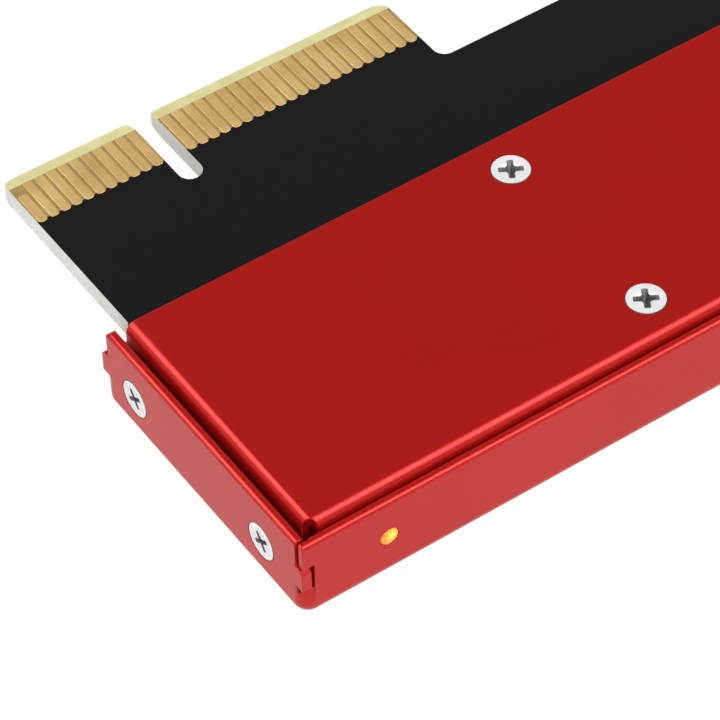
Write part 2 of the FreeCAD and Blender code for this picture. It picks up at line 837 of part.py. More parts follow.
def wing_leads(place, size, row):
    """Build gull-wing leads along both long sides of a moulded package."""
    x, y = place
    count, pitch = row
    half = size[1] / 2
    shoulder = board_under - size[2] / 2
    leads = []
    for index in range(count):
        start = x + (index - (count - 1) / 2) * pitch - lead_width / 2
        for side in (-1, 1):
            outline = [
                (0, shoulder),
                (lead_knees[0], shoulder),
                (lead_knees[1], board_under - lead_thickness),
                (1, board_under - lead_thickness),
                (1, board_under),
                (lead_inner_knees[1], board_under),
                (lead_inner_knees[0], shoulder + lead_thickness),
                (0, shoulder + lead_thickness),
            ]
            points = [
                Vector(start, y + side * (half + share * lead_reach), height)
                for share, height in outline
            ]
            leads.append(face_of(points).extrude(X_AXIS * lead_width))
    return solids_of(leads)


def pad_row(place, size, row, pad):
    """Build the bare solder pads around a leadless package."""
    x, y = place
    count, pitch = row
    pads = []
    for index in range(count):
        along = (index - (count - 1) / 2) * pitch
        for side in (-1, 1):
            z_range = (board_under - lead_thickness, board_under)
            reach = side * (size[1] + pad) / 2
            pads.append(centred_block((x + along, y + reach), (pad, pad), z_range))
            reach = side * (size[0] + pad) / 2
            pads.append(centred_block((x + reach, y + along), (pad, pad), z_range))
    return solids_of(pads)


def inductor_ends(place, size):
    """Build the inductor's two folded terminals."""
    x, y = place
    width, height = inductor_end_size
    ends = []
    for side in (-1, 1):
        centre = (x + side * (size[0] + lead_thickness) / 2, y)
        ends.append(centred_block(centre, (lead_thickness, width), (board_under - height, board_under)))
    return solids_of(ends)


def lane_capacitor_places():
    """Return the lane capacitors' places, in pairs between the contacts and the case."""
    row = connector_edge - key_depth - lane_capacitor_row
    start = key_centre() + lane_capacitor_start
    lanes = [start + lane * lane_pitch for lane in range(lane_count)]
    return [(x + leg, row) for x in lanes for leg in (0, lane_leg_pitch)]


# ---------------------------------------------------------------- the whole card
def row_of_places(start, pitch, count):
    """Return evenly spaced places along the board."""
    return [board_place(start, index * pitch) for index in range(count)]


capacitor_places = row_of_places(input_capacitor_start, small_pitch, input_capacitor_count)
capacitor_places += row_of_places(output_capacitor_start, small_pitch, output_capacitor_count)
resistor_places = row_of_places(pull_resistor_start, pull_resistor_pitch, pull_resistor_count)
for number in range(series_resistor_count):
    resistor_places.append(board_place(series_resistor_at, across=-number * series_resistor_pitch))
resistor_places.append(board_place(bias_resistor_at))
bulk_places = row_of_places(bulk_capacitor_start, bulk_capacitor_pitch, bulk_capacitor_count)
regulator_place = board_place(regulator_at)
memory_place = board_place(memory_at)
buffer_place = board_place(buffer_at)
inductor_place = board_place(inductor_at)

upper_face = (board_top, board_top + contact_thickness)
lower_face = (board_under - contact_thickness, board_under)
nodes = {
    "lower_tray": lower_tray(),
    "top_cover": top_cover(),
    "circuit_board": circuit_board(),
    "edge_contacts_upper": edge_contacts(upper_short_contacts, upper_face),
    "edge_contacts_lower": edge_contacts(lower_short_contacts, lower_face),
    "cover_screws": solids_of(flush_screw(*place, cover_screw_length) for place in cover_screw_places()),
    "end_screws": solids_of(flush_screw(*place, end_screw_length) for place in end_screw_places()),
    "board_standoffs": solids_of(board_standoff(x, y) for x in cover_screw_columns for y in screw_rows),
    "light_pipe": light_pipe(),
    "indicator_body": indicator_body(),
    "indicator_terminals": indicator_terminals(),
    "socket_housing": socket_housing(),
    "socket_contacts_upper": socket_contacts(True),
    "socket_contacts_lower": socket_contacts(False),
    "socket_tails": socket_tails(),
    "socket_anchors": socket_anchors(),
    "drive_nut": drive_nut(),
    "drive_screw": drive_screw(),
    "heat_pad": heat_pad(),
    "floor_film": floor_film(),
    "cover_film": cover_film(),
    "lane_capacitors": chip_bodies(lane_capacitor_places(), chip_capacitor),
    "lane_capacitor_ends": chip_ends(lane_capacitor_places(), chip_capacitor),
    "small_capacitors": chip_bodies(capacitor_places, chip_capacitor),
    "small_capacitor_ends": chip_ends(capacitor_places, chip_capacitor),
    "resistors": chip_bodies(resistor_places, chip_resistor),
    "resistor_ends": chip_ends(resistor_places, chip_resistor),
    "bulk_capacitors": chip_bodies(bulk_places, bulk_capacitor),
    "bulk_capacitor_ends": chip_ends(bulk_places, bulk_capacitor),
    "regulator_body": moulded_body(regulator_place, regulator_size, package_stand, package_bevel),
    "regulator_leads": wing_leads(regulator_place, regulator_size, regulator_leads),
    "memory_body": moulded_body(memory_place, memory_size, package_stand, package_bevel),
    "memory_leads": wing_leads(memory_place, memory_size, memory_leads),
    "buffer_body": moulded_body(buffer_place, buffer_size, solder_gap, buffer_bevel),
    "buffer_pads": pad_row(buffer_place, buffer_size, buffer_pads, buffer_pad),
    "inductor_body": moulded_body(inductor_place, inductor_size, solder_gap, inductor_bevel),
    "inductor_ends": inductor_ends(inductor_place, inductor_size),
}

os.makedirs("parts", exist_ok=True)
for name, shape in nodes.items():
    shape.exportStep("parts/" + name + ".step")
    print(name, len(shape.Solids), round(shape.Volume, 3), shape.isValid())
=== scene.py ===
"""Finishes, detail, light and camera for a drive adapter card in a folded red case.

The frame is in metres. Sizes inside the classes are in millimetres: a mesh is built in
millimetres and scaled once when it becomes a piece. +X runs along the card, +Y points to
the gold edge connector and +Z is up.
"""
from __future__ import annotations

import json
import logging
import math
from dataclasses import dataclass, field
from enum import Enum
from typing import Callable, Iterable, Sequence

import bmesh
import bpy
from bmesh.types import BMEdge, BMesh, BMFace, BMVert
from bpy.types import Material, Node, NodeSocket, NodeTree, Object
from mathutils import Matrix, Vector

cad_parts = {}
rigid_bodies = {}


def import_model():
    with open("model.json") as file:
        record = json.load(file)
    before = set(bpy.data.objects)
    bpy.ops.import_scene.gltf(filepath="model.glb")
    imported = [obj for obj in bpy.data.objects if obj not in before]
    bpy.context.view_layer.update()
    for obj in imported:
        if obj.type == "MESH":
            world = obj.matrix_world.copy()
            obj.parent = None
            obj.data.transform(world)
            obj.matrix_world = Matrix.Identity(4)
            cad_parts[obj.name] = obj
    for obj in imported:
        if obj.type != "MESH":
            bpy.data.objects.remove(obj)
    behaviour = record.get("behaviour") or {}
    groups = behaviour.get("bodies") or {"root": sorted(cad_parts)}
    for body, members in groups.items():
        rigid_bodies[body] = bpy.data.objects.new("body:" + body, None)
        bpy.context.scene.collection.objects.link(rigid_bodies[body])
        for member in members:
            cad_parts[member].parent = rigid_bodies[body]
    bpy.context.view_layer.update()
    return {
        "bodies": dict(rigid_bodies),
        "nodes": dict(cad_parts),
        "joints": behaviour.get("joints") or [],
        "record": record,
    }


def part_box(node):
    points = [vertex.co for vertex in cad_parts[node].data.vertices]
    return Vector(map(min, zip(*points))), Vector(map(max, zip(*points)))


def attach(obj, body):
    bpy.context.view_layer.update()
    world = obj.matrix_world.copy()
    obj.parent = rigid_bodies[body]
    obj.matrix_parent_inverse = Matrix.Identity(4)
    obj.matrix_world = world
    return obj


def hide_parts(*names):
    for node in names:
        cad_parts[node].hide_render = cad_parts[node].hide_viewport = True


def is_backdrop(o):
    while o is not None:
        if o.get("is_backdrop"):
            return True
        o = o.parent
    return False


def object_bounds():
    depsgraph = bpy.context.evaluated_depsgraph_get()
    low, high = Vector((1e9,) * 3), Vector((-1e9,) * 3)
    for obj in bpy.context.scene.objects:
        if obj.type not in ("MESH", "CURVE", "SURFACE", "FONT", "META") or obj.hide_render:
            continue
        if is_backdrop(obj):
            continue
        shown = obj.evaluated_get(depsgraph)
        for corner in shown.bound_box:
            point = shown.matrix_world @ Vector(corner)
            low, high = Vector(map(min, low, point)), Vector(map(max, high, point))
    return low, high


MILLIMETRE = 0.001
JOIN_DISTANCE = 0.0005  # millimetres within which a CAD mesh's points are one point
FLAT_TURN = 0.6  # degrees up to which neighbouring faces are one face
SHARP_TURN = 28.0  # degrees from which a folded sheet's edge is rounded
TINY_FACE = 0.01  # square millimetres up to which a face's edges stay as they are
LINE_STRETCH = 0.12  # the noise's scale along a metal's lines, as a share of that across them
BODY = "root"
log = logging.getLogger("adapter_card")

Colour = tuple[float, float, float]
Display = tuple[int, int, int]
Box = tuple[Vector, Vector]
Source = NodeSocket | float


class Slot(Enum):
    """The record's material slots of the pieces that are built anew."""

    TRAY = "tray_red"
    COVER = "cover_red"
    BOARD = "board_mask"
    GOLD = "gold"
    SCREW = "screw_white"
    PIPE = "clear_pipe"


class Side(Enum):
    """The board's two faces, with the sign of their outward direction."""

    UPPER = 1
    LOWER = -1


class BoardSkin(Enum):
    """What shows on a face of the board, with its material's index."""

    MASK = 0
    LAMINATE = 1
    CUT = 2
    # Painted shade: the bare laminate between the contacts, darkened.
    SHADED = 3


def linear(red: int, green: int, blue: int) -> Colour:
    """Turn a colour written as display values into linear light.

    Args:
        red: Red, 0 to 255.
        green: Green.
        blue: Blue.

    Returns:
        The three linear values.
    """

    def channel(value: int) -> float:
        """Turn one display value into linear light by the standard display curve."""
        share = value / 255
        return share / 12.92 if share <= 0.04045 else ((share + 0.055) / 1.055) ** 2.4

    return channel(red), channel(green), channel(blue)


def box_mm(node: str) -> Box:
    """Return a CAD node's lowest and highest corners in millimetres."""
    low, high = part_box(node)
    return low / MILLIMETRE, high / MILLIMETRE


# ---------------------------------------------------------------------- node groups
class TreeMaker:
    """Adds nodes and links to one shader tree."""

    def __init__(self, tree: NodeTree) -> None:
        """Work on the given tree."""
        self.tree = tree

    def node(self, kind: str, **settings: object) -> Node:
        """Add a node and set its plain properties.

        Args:
            kind: The node's type without the shader nodes' common prefix.
            settings: Its properties by name.

        Returns:
            The node.
        """
        made = self.tree.nodes.new(f"ShaderNode{kind}")
        for key, value in settings.items():
            setattr(made, key, value)
        return made

    def wire(self, source: Source, target: NodeSocket) -> None:
        """Link a socket to another, or set the target where the source is a number.

        Args:
            source: The socket or number.
            target: The socket that takes it.
        """
        if isinstance(source, NodeSocket):
            self.tree.links.new(source, target)
        else:
            target.default_value = source


class GroupMaker(TreeMaker):
    """Builds one shader node group with named inputs and outputs."""

    def __init__(self, name: str) -> None:
        """Start an empty group.

        Args:
            name: The group's name.
        """
        super().__init__(bpy.data.node_groups.new(name, "ShaderNodeTree"))
        self.entry = self.tree.nodes.new("NodeGroupInput")
        self.exit = self.tree.nodes.new("NodeGroupOutput")

    def takes(self, name: str, kind: str, default: float | Colour) -> NodeSocket:
        """Add a named input.

        Args:
            name: The input's name.
            kind: Float or Color.
            default: Its value until a material gives another.

        Returns:
            Its socket inside the group.
        """
        socket = self.tree.interface.new_socket(
            name=name, in_out="INPUT", socket_type=f"NodeSocket{kind}")
        socket.default_value = (*default, 1.0) if kind == "Color" else default
        return self.entry.outputs[name]

    def gives(self, name: str, kind: str, source: NodeSocket) -> None:
        """Add a named output fed by a socket."""
        self.tree.interface.new_socket(name=name, in_out="OUTPUT", socket_type=f"NodeSocket{kind}")
        self.tree.links.new(source, self.exit.inputs[name])

    def math(self, operation: str, *values: Source) -> NodeSocket:
        """Add a math node.

        Args:
            operation: What it does.
            values: Its inputs in order.

        Returns:
            Its result.
        """
        made = self.node("Math", operation=operation)
        for index, value in enumerate(values):
            self.wire(value, made.inputs[index])
        return made.outputs[0]

    def noise(self, scale: Source, detail: float, rough: float = 0.5,
              vector: NodeSocket | None = None) -> NodeSocket:
        """Add a noise texture.

        Args:
            scale: Its scale.
            detail: Its number of finer layers.
            rough: The weight of the finer layers.
            vector: Where it is read, or None for object space.

        Returns:
            Its value.
        """
        made = self.node("TexNoise")
        self.wire(vector if vector is not None else self.place(), made.inputs["Vector"])
        self.wire(scale, made.inputs["Scale"])
        made.inputs["Detail"].default_value = detail
        made.inputs["Roughness"].default_value = rough
        return made.outputs["Fac"]

    def place(self) -> NodeSocket:
        """Return the object-space position."""
        return self.node("TexCoord").outputs["Object"]

    def spread(self, value: NodeSocket, low: float, high: float,
               to_low: Source, to_high: Source) -> NodeSocket:
        """Map a value from one range to another.

        Args:
            value: The value.
            low: Its range's lower end.
            high: Its range's upper end.
            to_low: What the lower end becomes.
            to_high: What the upper end becomes.

        Returns:
            The result.
        """
        made = self.node("MapRange")
        for socket, given in zip(made.inputs[:5], (value, low, high, to_low, to_high)):
            self.wire(given, socket)
        return made.outputs[0]

    def blend(self, share: Source, first: NodeSocket, second: NodeSocket) -> NodeSocket:
        """Mix two colours.

        Args:
            share: The second colour's share.
            first: The first colour.
            second: The second colour.

        Returns:
            The result.
        """
        made = self.node("Mix", data_type="RGBA")
        # A colour mix has its factor at input 0, its colours at 6 and 7 and its result at 2.
        for index, source in ((0, share), (6, first), (7, second)):
            self.wire(source, made.inputs[index])
        return made.outputs[2]


def build_mottle_group() -> NodeTree:
    """Build the group for slight unevenness in tone and gloss, with a fine grain.

    Returns:
        The group's tree.
    """
    group = GroupMaker("tone_mottle")
    tone = group.takes("Tone", "Color", (0.5, 0.5, 0.5))
    deep = group.takes("Deep tone", "Color", (0.3, 0.3, 0.3))
    size = group.takes("Patch scale", "Float", 80.0)
    grain = group.takes("Grain scale", "Float", 4000.0)
    dull = group.takes("Roughness low", "Float", 0.3)
    matt = group.takes("Roughness high", "Float", 0.45)
    patches = group.noise(size, detail=3.0, rough=0.55)
    fine = group.noise(grain, detail=2.0, rough=0.6)
    share = group.spread(patches, low=0.35, high=0.65, to_low=0.0, to_high=0.75)
    grainy = group.spread(fine, low=0.3, high=0.7, to_low=0.0, to_high=0.25)
    gloss = group.spread(group.math("ADD", patches, fine), low=0.7, high=1.3, to_low=dull, to_high=matt)
    group.gives("Color", "Color", group.blend(group.math("ADD", share, grainy), tone, deep))
    group.gives("Roughness", "Float", gloss)
    group.gives("Height", "Float", fine)
    return group.tree


def build_brush_group() -> NodeTree:
    """Build the group for fine drawn or turned lines on metal.

    Returns:
        The group's tree.
    """
    group = GroupMaker("metal_lines")
    tone = group.takes("Tone", "Color", (0.8, 0.8, 0.8))
    deep = group.takes("Deep tone", "Color", (0.6, 0.6, 0.6))
    scale = group.takes("Line scale", "Float", 900.0)
    low = group.takes("Roughness low", "Float", 0.25)
    high = group.takes("Roughness high", "Float", 0.4)
    stretch = group.node("Mapping")
    group.wire(group.place(), stretch.inputs["Vector"])
    stretch.inputs["Scale"].default_value = (1.0, LINE_STRETCH, 1.0)
    lines = group.noise(scale, detail=3.0, rough=0.6, vector=stretch.outputs[0])
    cloud_scale = group.math("MULTIPLY", scale, 0.2)
    cloud = group.noise(cloud_scale, detail=2.0)
    share = group.spread(group.math("ADD", lines, cloud), low=0.75, high=1.3, to_low=0.0, to_high=1.0)
    group.gives("Color", "Color", group.blend(share, tone, deep))
    group.gives("Roughness", "Float", group.spread(lines, low=0.3, high=0.7, to_low=low, to_high=high))
    group.gives("Height", "Float", lines)
    return group.tree


def build_weave_group() -> NodeTree:
    """Build the group for the glass cloth that shows faintly in the board.

    Returns:
        The group's tree.
    """
    group = GroupMaker("glass_cloth")
    pitch = group.takes("Threads per metre", "Float", 2200.0)
    split = group.node("SeparateXYZ")
    group.wire(group.place(), split.inputs[0])
    turns = group.math("MULTIPLY", pitch, 2 * math.pi)
    warp = group.math("SINE", group.math("MULTIPLY", split.outputs[0], turns))
    weft = group.math("SINE", group.math("MULTIPLY", split.outputs[1], turns))
    cloth = group.spread(group.math("MULTIPLY", warp, weft), low=-1.0, high=1.0, to_low=0.0, to_high=1.0)
    patches = group.noise(300.0, detail=2.0)
    uneven = group.spread(patches, low=0.3, high=0.7, to_low=0.4, to_high=1.0)
    group.gives("Height", "Float", group.math("MULTIPLY", cloth, uneven))
    return group.tree


class Groups:
    """The shared node groups, each built once."""

    def __init__(self) -> None:
        """Build every group."""
        self.mottle = build_mottle_group()
        self.brush = build_brush_group()
        self.weave = build_weave_group()


# ---------------------------------------------------------------------- materials
class MaterialMaker(TreeMaker):
    """A material under construction around one Principled shader."""

    def __init__(self, name: str) -> None:
        """Start a material.

        Args:
            name: The material's name.
        """
        self.material = bpy.data.materials.new(name)
        self.material.use_nodes = True
        super().__init__(self.material.node_tree)
        self.shader = self.tree.nodes["Principled BSDF"]

    def constants(self, **values: float | tuple[float, ...]) -> None:
        """Set plain values on the shader's own sockets, with underscores for spaces."""
        for key, value in values.items():
            self.shader.inputs[key.replace("_", " ")].default_value = value

    def place_group(self, tree: NodeTree, **values: float | Colour) -> Node:
        """Place a node group and set its inputs, with underscores for spaces.

        Args:
            tree: The group to place.
            values: Its input values by name.

        Returns:
            The group node.
        """
        node = self.tree.nodes.new("ShaderNodeGroup")
        node.node_tree = tree
        for key, value in values.items():
            socket = node.inputs[key.replace("_", " ")]
            socket.default_value = (*value, 1.0) if isinstance(value, tuple) else value
        return node

    def feed(self, source: NodeSocket, socket: str) -> None:
        """Link a source to one of the shader's sockets."""
        self.tree.links.new(source, self.shader.inputs[socket])

    def dress(self, tree: NodeTree, **values: float | Colour) -> Node:
        """Place a group that gives tone and gloss, and feed the shader from it.

        Args:
            tree: The group to place.
            values: Its input values by name.

        Returns:
            The group node.
        """
        node = self.place_group(tree, **values)
        self.feed(node.outputs["Color"], "Base Color")
        self.feed(node.outputs["Roughness"], "Roughness")
        return node

    def bump(self, relief: Node, strength: float, depth_mm: float) -> None:
        """Feed the shader's normal from a group's height.

        Args:
            relief: The group node.
            strength: How strongly the bump acts.
            depth_mm: The height's full depth.
        """
        node = self.tree.nodes.new("ShaderNodeBump")
        node.inputs["Strength"].default_value = strength
        node.inputs["Distance"].default_value = depth_mm * MILLIMETRE
        self.wire(relief.outputs["Height"], node.inputs["Height"])
        self.feed(node.outputs[0], "Normal")


@dataclass(frozen=True)
class MottledFinish:
    """A finish with its lowest and highest roughness, slightly uneven, with a fine relief."""

    name: str
    tone: Display
    deep: Display
    low: float
    high: float
    patch_scale: float = 700.0
    grain_scale: float = 5000.0
    relief: float = 0.15
    relief_mm: float = 0.01
    threads: float | None = None

    def build(self, groups: Groups) -> Material:
        """Build the finish, with the glass cloth's relief where it has threads.

        Args:
            groups: The shared node groups.

        Returns:
            The material.
        """
        maker = MaterialMaker(self.name)
        relief = maker.dress(groups.mottle, Tone=linear(*self.tone), Deep_tone=linear(*self.deep),
                             Patch_scale=self.patch_scale, Grain_scale=self.grain_scale,
                             Roughness_low=self.low, Roughness_high=self.high)
        if self.threads is not None:
            relief = maker.place_group(groups.weave, Threads_per_metre=self.threads)
        maker.bump(relief, self.relief, self.relief_mm)
        maker.constants(**self.shine())
        return maker.material

    def shine(self) -> dict[str, float]:
        """Return the plain values that the shader needs for this finish."""
        return {}


@dataclass(frozen=True)
class Moulding(MottledFinish):
    """Moulded plastic, ceramic, film or rubber."""


@dataclass(frozen=True)
class SatinLacquer(MottledFinish):
    """Smooth coloured lacquer over bright metal, as on the folded case."""

    name: str = "satin_red_lacquer"
    tone: Display = (184, 25, 18)
    deep: Display = (177, 22, 16)
    low: float = 0.32
    high: float = 0.38
    patch_scale: float = 60.0
    grain_scale: float = 5200.0
    relief: float = 0.12
    metallic: float = 0.45
    coat: float = 0.04
    coat_roughness: float = 0.22
    gloss: float = 0.36

    def shine(self) -> dict[str, float]:
        """Return the plain values that the shader needs for this finish."""
        return {"Metallic": self.metallic, "Coat_Weight": self.coat,
                "Coat_Roughness": self.coat_roughness, "Specular_IOR_Level": self.gloss}


@dataclass(frozen=True)
class SolderMask(MottledFinish):
    """Satin black solder mask with the glass cloth faint beneath it."""

    name: str = "black_solder_mask"
    tone: Display = (16, 15, 16)
    deep: Display = (13, 12, 13)
    low: float = 0.42
    high: float = 0.5
    patch_scale: float = 140.0
    grain_scale: float = 3000.0
    relief: float = 0.08
    threads: float | None = 1100.0
    gloss: float = 0.2

    def shine(self) -> dict[str, float]:
        """Return the plain values that the shader needs for this finish."""
        return {"Specular_IOR_Level": self.gloss}


@dataclass(frozen=True)
class Laminate(MottledFinish):
    """Bare glass laminate, pale, with its cloth showing."""

    name: str = "bare_laminate"
    tone: Display = (208, 202, 146)
    deep: Display = (192, 183, 120)
    low: float = 0.4
    high: float = 0.5
    patch_scale: float = 500.0
    grain_scale: float = 6000.0
    relief: float = 0.25
    relief_mm: float = 0.02
    threads: float | None = 2200.0


@dataclass(frozen=True)
class Metal:
    """A plated or bare metal with fine lines, with its lowest and highest roughness."""

    name: str
    tone: Display
    deep: Display
    low: float
    high: float
    metallic: float = 1.0

    def build(self, groups: Groups) -> Material:
        """Build the finish.

        Args:
            groups: The shared node groups.

        Returns:
            The material.
        """
        maker = MaterialMaker(self.name)
        lines = maker.dress(groups.brush, Tone=linear(*self.tone), Deep_tone=linear(*self.deep),
                            Line_scale=1400.0, Roughness_low=self.low, Roughness_high=self.high)
        maker.bump(lines, strength=0.06, depth_mm=0.01)
        maker.constants(Metallic=self.metallic)
        return maker.material


@dataclass(frozen=True)
class LitLens:
    """A clear lens lit amber from behind, with its glow's centre and reach in millimetres."""

    centre: Vector
    reach: float
    name: str = "amber_lit_lens"
    tone: Colour = (0.8, 0.35, 0.03)
    deep: Colour = (0.7, 0.22, 0.02)
    core: Colour = (1.0, 0.86, 0.06)
    middle: Colour = (1.0, 0.33, 0.01)
    rim: Colour = (0.32, 0.02, 0.002)
    core_until: float = 0.06
    middle_at: float = 0.33
    rim_from: float = 0.74

    def build(self, groups: Groups) -> Material:
        """Build the finish.

        Args:
            groups: The shared node groups.

        Returns:
            The material.
        """
        maker = MaterialMaker(self.name)
        place = maker.node("TexCoord")
        offset = maker.node("VectorMath", operation="DISTANCE")
        offset.inputs[1].default_value = self.centre * MILLIMETRE
        ramp = maker.node("ValToRGB")
        span = maker.node("MapRange")
        span.inputs["From Max"].default_value = self.reach * MILLIMETRE
        maker.wire(place.outputs["Object"], offset.inputs[0])
        maker.wire(offset.outputs["Value"], span.inputs[0])
        maker.wire(span.outputs[0], ramp.inputs[0])
        stops = ramp.color_ramp.elements
        stops[0].position, stops[0].color = self.core_until, (*self.core, 1.0)
        stops[1].position, stops[1].color = self.rim_from, (*self.rim, 1.0)
        stops.new(self.middle_at).color = (*self.middle, 1.0)
        maker.dress(groups.mottle, Tone=self.tone, Deep_tone=self.deep, Patch_scale=1500.0,
                    Grain_scale=6000.0, Roughness_low=0.12, Roughness_high=0.2)
        maker.feed(ramp.outputs[0], "Emission Color")
        maker.constants(Emission_Strength=1.0, IOR=1.49)
        return maker.material


# ---------------------------------------------------------------------- mesh tools
def finish_piece(mesh: BMesh, name: str, materials: Sequence[Material], slot: Slot,
                 nodes: Iterable[str]) -> Object:
    """Turn a mesh built in millimetres into a piece that stands for CAD nodes.

    Args:
        mesh: The mesh in millimetres.
        name: The piece's name.
        materials: Its materials, in the order of the faces' indices.
        slot: The record's slot; not used.
        nodes: The CAD nodes that it stands for.

    Returns:
        The new object.
    """
    bmesh.ops.recalc_face_normals(mesh, faces=mesh.faces)
    bmesh.ops.scale(mesh, vec=(MILLIMETRE,) * 3, verts=mesh.verts)
    for face in mesh.faces:
        face.smooth = True
    data = bpy.data.meshes.new(name)
    mesh.to_mesh(data)
    mesh.free()
    for material in materials:
        data.materials.append(material)
    piece = bpy.data.objects.new(name, data)
    bpy.context.scene.collection.objects.link(piece)
    weights = piece.modifiers.new("even_shading", "WEIGHTED_NORMAL")
    weights.keep_sharp = True
    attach(piece, BODY)
    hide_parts(*nodes)
    log.info("%s: %d faces, stands for %s", name, len(data.polygons), ", ".join(nodes))
    return piece


def divide(mesh: BMesh, point: Vector, normal: Vector) -> list[BMEdge]:
    """Divide a mesh's faces along a plane.

    Args:
        mesh: The mesh.
        point: A point on the plane.
        normal: The plane's normal.

    Returns:
        The edges that lie on the plane.
    """
    everything = [*mesh.verts, *mesh.edges, *mesh.faces]
    cut = bmesh.ops.bisect_plane(mesh, geom=everything, plane_co=point, plane_no=normal)["geom_cut"]
    return [part for part in cut if isinstance(part, BMEdge)]


def mesh_of_node(node: str, cuts: Iterable[tuple[Vector, Vector]] = ()) -> BMesh:
    """Return a CAD node's mesh in millimetres, joined up and with flat faces merged.

    Args:
        node: The CAD node's name.
        cuts: Planes, each a point and a normal, along which flat faces stay divided.

    Returns:
        A new mesh.
    """
    mesh = bmesh.new()
    mesh.from_mesh(bpy.data.objects[node].data)
    bmesh.ops.scale(mesh, vec=(1 / MILLIMETRE,) * 3, verts=mesh.verts)
    bmesh.ops.remove_doubles(mesh, verts=mesh.verts, dist=JOIN_DISTANCE)
    for point, normal in cuts:
        for edge in divide(mesh, point, normal):
            edge.seam = True
    bmesh.ops.dissolve_limit(mesh, angle_limit=math.radians(FLAT_TURN), use_dissolve_boundaries=False,
                             verts=mesh.verts, edges=mesh.edges, delimit={"SEAM"})
    return mesh


def mark_edges(mesh: BMesh, share: Callable[[BMEdge], float], sharper_than: float) -> None:
    """Give every sharp edge its share of the rounding's width, but for those beside a tiny face.

    Args:
        mesh: The mesh in millimetres.
        share: Returns an edge's share, from 0 to 1.
        sharper_than: The least turn in degrees that counts as sharp.
    """
    limit = math.radians(sharper_than)
    weights = mesh.edges.layers.float.new("bevel_weight_edge")
    for edge in mesh.edges:
        if len(edge.link_faces) != 2 or edge.calc_face_angle() <= limit:
            continue
        if all(face.calc_area() > TINY_FACE for face in edge.link_faces):
            edge[weights] = share(edge)


def round_edges(piece: Object, width: float, segments: int) -> None:
    """Round a piece's marked edges before its shading is evened out.

    Args:
        piece: The piece.
        width: The full width of the rounding in millimetres.
        segments: The rounding's segments.
    """
    bevel = piece.modifiers.new("rounded_edges", "BEVEL")
    bevel.width = width * MILLIMETRE
    bevel.segments = segments
    bevel.limit_method = "WEIGHT"
    bevel.use_clamp_overlap = False
    bevel.miter_outer = "MITER_SHARP"
    piece.modifiers.move(len(piece.modifiers) - 1, 0)


def turned_rings(profile: Iterable[tuple[float, float]], sides: int,
                 spot: Callable[[float, float, float], Vector]) -> list[list[Vector]]:
    """Return the rings of a turned shape.

    Args:
        profile: The rings' radii and heights in order.
        sides: The points of a ring.
        spot: Places a point from its two cross coordinates and its height.

    Returns:
        The rings' points.
    """
    angles = [2 * math.pi * index / sides for index in range(sides)]
    return [[spot(radius * math.cos(angle), radius * math.sin(angle), height) for angle in angles]
            for radius, height in profile]


def add_rings(mesh: BMesh, rings: Sequence[Sequence[Vector]], cap_first: bool = True,
              material: int = 0) -> list[list[BMVert]]:
    """Join rings of equal length into a skin and close the last one.

    Args:
        mesh: The mesh to add to.
        rings: The rings' points in order.
        cap_first: Whether to close the first ring too.
        material: The faces' material index.

    Returns:
        The rings' vertices.
    """
    made = [[mesh.verts.new(point) for point in ring] for ring in rings]
    faces = []
    for low, high in zip(made, made[1:]):
        for index in range(len(low)):
            after = (index + 1) % len(low)
            faces.append(mesh.faces.new((low[index], low[after], high[after], high[index])))
    if cap_first:
        faces.append(mesh.faces.new(list(reversed(made[0]))))
    faces.append(mesh.faces.new(made[-1]))
    for face in faces:
        face.material_index = material
    return made


def axis_frame(origin: Vector, outward: Vector, turn: float) -> Matrix:
    """Return the matrix that stands local +Z on a direction, turned about it.

    Args:
        origin: The local origin.
        outward: The direction of local +Z.
        turn: The turn about it in degrees.

    Returns:
        The local-to-frame matrix.
    """
    lean = Vector((0, 0, 1)).rotation_difference(outward).to_matrix().to_4x4()
    return Matrix.Translation(origin) @ lean @ Matrix.Rotation(math.radians(turn), 4, "Z")


def screw_heads(radius: float) -> tuple[list[Vector], list[Vector]]:
    """Find the centres of the screws' heads.

    Args:
        radius: The heads' radius in the CAD model.

    Returns:
        The cover's four, then the end wall's two.
    """
    low, high = box_mm("cover_screws")
    cover = [Vector((x, y, high.z)) for x in (low.x + radius, high.x - radius)
             for y in (low.y + radius, high.y - radius)]
    low, high = box_mm("end_screws")
    return cover, [Vector((low.x, y, (low.z + high.z) / 2)) for y in (low.y + radius, high.y - radius)]


